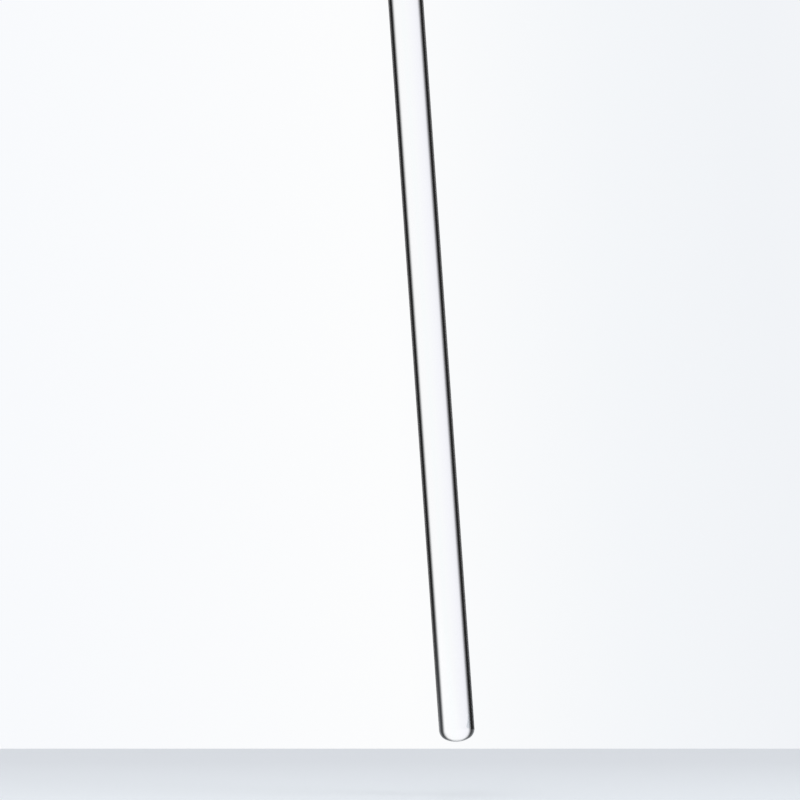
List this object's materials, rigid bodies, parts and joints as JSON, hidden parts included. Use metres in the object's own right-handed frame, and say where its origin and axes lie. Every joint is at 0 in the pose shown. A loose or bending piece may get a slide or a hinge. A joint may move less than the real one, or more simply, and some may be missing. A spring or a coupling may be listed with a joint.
{
  "type": "glass stirring rod",
  "caption": "Straight solid glass rod with smooth fire-polished ends, for stirring and for guiding liquid as it is poured.",
  "frame": {"origin": "middle of the rod's lower tip, the end that stirs", "axes": "+Z along the rod's own axis, from the lower tip to the upper tip; the rod is round, so +X and +Y are any two directions across it"},
  "size_m": [0.008, 0.008, 0.25],
  "materials": {
    "glass": "clear, drawn and fire-polished"
  },
  "bodies": {
    "root": {"stirring_rod": "glass"}
  },
  "joints": []
}
